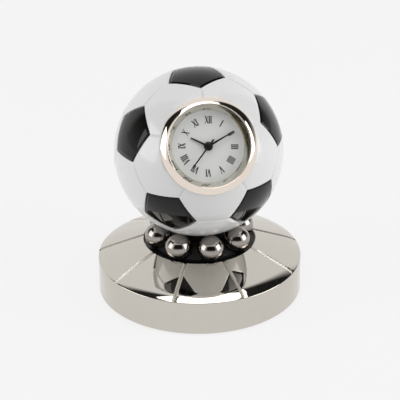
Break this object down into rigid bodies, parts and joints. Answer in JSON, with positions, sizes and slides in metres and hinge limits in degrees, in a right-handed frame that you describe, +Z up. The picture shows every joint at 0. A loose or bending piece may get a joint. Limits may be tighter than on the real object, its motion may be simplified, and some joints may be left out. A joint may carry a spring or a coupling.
{
  "type": "desk clock",
  "caption": "Football-shaped desk clock: an enamelled football turns on a ring of steel balls over a round grooved metal base, with a quartz insert in front.",
  "frame": {"origin": "centre of the base's underside, on the surface that it stands on", "axes": "+Z up through the swivel axis; the dial faces -Y and 30 degrees up; +X to the viewer's right"},
  "size_m": [0.0606, 0.0606, 0.0699],
  "materials": {
    "felt": "matte",
    "nickel_chrome": "polished",
    "black_plastic": "satin",
    "bush_brass": "satin",
    "bearing_steel": "polished",
    "white_enamel": "gloss",
    "black_enamel": "gloss",
    "zinc_steel": "satin",
    "nylon": "satin",
    "champagne_plate": "polished",
    "mineral_glass": "polished",
    "mirror_ring": "polished",
    "dial_paint": "matte",
    "grip_rubber": "matte",
    "movement_brass": "satin",
    "circuit_green": "gloss",
    "chip_epoxy": "matte",
    "copper_wire": "satin",
    "magnet": "satin",
    "hand_black": "satin"
  },
  "bodies": {
    "base": {"base_casting": "nickel_chrome", "felt_pad": "felt", "ball_tray": "black_plastic", "pivot_bush": "bush_brass"},
    "ball_ring": {"ball_cage": "black_plastic", "bearing_balls": "bearing_steel"},
    "football": {"football_front": "white_enamel", "football_rear": "white_enamel", "black_panels": "black_enamel", "pivot_screw": "zinc_steel", "pivot_washer": "nylon", "pivot_insert": "bush_brass"},
    "insert": {"bezel": "champagne_plate", "lens": "mineral_glass", "lens_gasket": "nylon", "reflector_ring": "mirror_ring", "dial": "dial_paint", "insert_case": "zinc_steel", "grip_ring": "grip_rubber", "case_back": "zinc_steel", "movement_holder": "nylon", "main_plate": "movement_brass", "train_bridge": "movement_brass", "bridge_screws": "zinc_steel", "circuit_board": "circuit_green", "chip": "chip_epoxy", "quartz_crystal": "zinc_steel", "coil_core": "zinc_steel", "coil_winding": "copper_wire", "stator": "zinc_steel", "button_cell": "zinc_steel", "battery_clip": "zinc_steel"},
    "minute_train": {"centre_wheel": "movement_brass", "cannon_pinion": "zinc_steel", "minute_hand": "hand_black"},
    "hour_train": {"hour_wheel": "movement_brass", "hour_hand": "hand_black"},
    "motion_wheel": {"minute_wheel": "movement_brass"},
    "knob": {"setting_knob": "nylon"},
    "third_arbor": {"third_wheel": "movement_brass"},
    "second_train": {"fourth_wheel": "movement_brass", "second_hand": "hand_black"},
    "fifth_arbor": {"fifth_wheel": "movement_brass"},
    "rotor_arbor": {"rotor": "magnet"}
  },
  "joints": [
    {"name": "football_swivel", "type": "hinge", "parent": "base", "child": "football", "pos_m": [0, 0, 0.045], "axis": [0, 0, 1], "continuous": true},
    {"name": "ball_ring_turn", "type": "hinge", "parent": "base", "child": "ball_ring", "pos_m": [0, 0, 0.01885], "axis": [0, 0, 1], "continuous": true},
    {"name": "insert_slide", "type": "slide", "parent": "football", "child": "insert", "axis": [0, -0.866, 0.5], "range_m": [0, 0.013]},
    {"name": "minute_turn", "type": "hinge", "parent": "insert", "child": "minute_train", "pos_m": [0, 0, 0.045], "axis": [0, 0.866, -0.5], "continuous": true},
    {"name": "hour_turn", "type": "hinge", "parent": "insert", "child": "hour_train", "pos_m": [0, 0, 0.045], "axis": [0, 0.866, -0.5], "continuous": true},
    {"name": "motion_turn", "type": "hinge", "parent": "insert", "child": "motion_wheel", "pos_m": [-0.00103, 0.00141, 0.04744], "axis": [0, 0.866, -0.5], "continuous": true},
    {"name": "setting_turn", "type": "hinge", "parent": "insert", "child": "knob", "pos_m": [-0.00362, 0.00216, 0.04874], "axis": [0, 0.866, -0.5], "continuous": true},
    {"name": "third_turn", "type": "hinge", "parent": "insert", "child": "third_arbor", "pos_m": [-0.00423, -0.00077, 0.04367], "axis": [0, 0.866, -0.5], "continuous": true},
    {"name": "second_turn", "type": "hinge", "parent": "insert", "child": "second_train", "pos_m": [0, 0, 0.045], "axis": [0, 0.866, -0.5], "continuous": true},
    {"name": "fifth_turn", "type": "hinge", "parent": "insert", "child": "fifth_arbor", "pos_m": [0.00423, 0.00077, 0.04633], "axis": [0, 0.866, -0.5], "continuous": true},
    {"name": "rotor_turn", "type": "hinge", "parent": "insert", "child": "rotor_arbor", "pos_m": [0.00468, 0.00206, 0.04857], "axis": [0, 0.866, -0.5], "continuous": true}
  ],
  "couplings": [
    {"joint": "ball_ring_turn", "follows": "football_swivel", "ratio": 0.45289},
    {"joint": "hour_turn", "follows": "minute_turn", "ratio": 0.083333},
    {"joint": "motion_turn", "follows": "minute_turn", "ratio": -0.33333},
    {"joint": "setting_turn", "follows": "minute_turn", "ratio": 1},
    {"joint": "third_turn", "follows": "minute_turn", "ratio": -8},
    {"joint": "second_turn", "follows": "minute_turn", "ratio": 60},
    {"joint": "fifth_turn", "follows": "minute_turn", "ratio": -300},
    {"joint": "rotor_turn", "follows": "minute_turn", "ratio": 1800}
  ]
}
